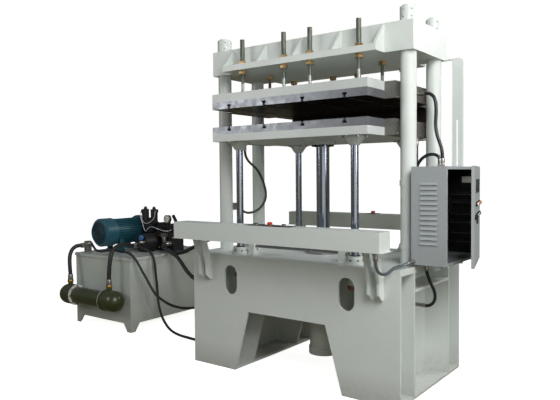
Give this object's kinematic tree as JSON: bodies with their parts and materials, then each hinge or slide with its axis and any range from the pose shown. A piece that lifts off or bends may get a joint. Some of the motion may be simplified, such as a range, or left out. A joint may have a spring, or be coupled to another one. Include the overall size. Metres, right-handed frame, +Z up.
{
  "type": "hydraulic press",
  "caption": "Four-column up-stroking hydraulic press with heated slotted platens, control bars, switch cabinet and a separate oil power unit joined by hoses.",
  "frame": {"origin": "on the floor in the middle of the four anchor holes of the press base", "axes": "+Z up, +X to the operator's right along the control bars, away from the power unit, +Y from the front bar to the rear bar"},
  "size_m": [4.7069, 1.86, 2.9213],
  "materials": {
    "machine_paint": "semi-gloss light grey enamel",
    "plate_steel": "ground steel darkened by heat",
    "hard_chrome": "polished hard chrome",
    "thread_steel": "dark threaded rod",
    "yellow_zinc": "yellow zinc plating",
    "cabinet_paint": "satin grey powder coat",
    "black_plastic": "satin black plastic",
    "red_plastic": "gloss red plastic",
    "motor_paint": "blue enamel",
    "black_iron": "black painted iron",
    "cooler_paint": "olive enamel",
    "fitting_steel": "zinc plated steel",
    "hose_rubber": "smooth black rubber",
    "cable_sheath": "black ribbed sheath"
  },
  "bodies": {
    "frame": {"base_front_plate": "machine_paint", "base_rear_plate": "machine_paint", "base_ribs": "machine_paint", "base_leg_left": "machine_paint", "base_leg_right": "machine_paint", "table_plate": "machine_paint", "columns": "machine_paint", "column_nuts": "machine_paint", "crown_beam": "machine_paint", "crown_ledges": "machine_paint", "upper_backing_plate": "machine_paint", "cylinder_barrel": "machine_paint", "guide_sleeves": "machine_paint", "front_bar": "machine_paint", "rear_bar": "machine_paint", "bar_brackets": "machine_paint", "shaft_blocks": "machine_paint", "switch_rail": "machine_paint", "tank_body": "machine_paint", "tank_lid": "machine_paint", "cabinet_clamps": "machine_paint", "upper_heating_plate": "plate_steel", "upper_end_covers": "plate_steel", "cylinder_head": "plate_steel", "cross_shaft": "plate_steel", "hanger_rods": "thread_steel", "hanger_nuts": "yellow_zinc", "cabinet_box": "cabinet_paint", "bar_panels": "black_plastic", "cabinet_gear": "black_plastic", "motor": "motor_paint", "pump_unit": "black_iron", "aux_pump": "black_iron", "valve_manifold": "black_iron", "valve_stack": "black_iron", "oil_cooler": "cooler_paint", "hose_fittings": "fitting_steel", "hose_cooler_left": "hose_rubber", "hose_cooler_right": "hose_rubber", "hose_lead": "hose_rubber", "hose_floor": "hose_rubber", "hose_table": "hose_rubber", "hose_feed": "hose_rubber", "cable_upper": "cable_sheath", "cable_lower": "cable_sheath", "cable_base": "cable_sheath", "cable_bar": "cable_sheath", "cable_platen": "cable_sheath"},
    "platen": {"lower_backing_plate": "machine_paint", "lower_heating_plate": "plate_steel", "lower_end_covers": "plate_steel", "main_ram": "hard_chrome", "guide_rods": "hard_chrome", "platen_glands": "fitting_steel"},
    "door": {"cabinet_door": "cabinet_paint", "door_controls": "black_plastic"},
    "front_stop": {"front_stop": "red_plastic"},
    "front_button_left": {"front_button_left": "black_plastic"},
    "front_button_right": {"front_button_right": "black_plastic"},
    "rear_stop": {"rear_stop": "red_plastic"}
  },
  "joints": [
    {"name": "platen_slide", "type": "slide", "parent": "frame", "child": "platen", "axis": [0, 0, 1], "range_m": [-0.42, 0.14], "deforming": ["cable_lower", "cable_platen"]},
    {"name": "door_hinge", "type": "hinge", "parent": "frame", "child": "door", "pos_m": [1.257, 0.278, 0], "axis": [0, 0, 1], "range_deg": [-15, 80]},
    {"name": "front_stop_push", "type": "slide", "parent": "frame", "child": "front_stop", "axis": [0, 0, -1], "range_m": [0, 0.005], "stiffness_N_per_m": 600, "springref_m": -0.002},
    {"name": "front_button_left_push", "type": "slide", "parent": "frame", "child": "front_button_left", "axis": [0, 0, -1], "range_m": [0, 0.004], "stiffness_N_per_m": 600, "springref_m": -0.002},
    {"name": "front_button_right_push", "type": "slide", "parent": "frame", "child": "front_button_right", "axis": [0, 0, -1], "range_m": [0, 0.004], "stiffness_N_per_m": 600, "springref_m": -0.002},
    {"name": "rear_stop_push", "type": "slide", "parent": "frame", "child": "rear_stop", "axis": [0, 0, -1], "range_m": [0, 0.005], "stiffness_N_per_m": 600, "springref_m": -0.002}
  ]
}
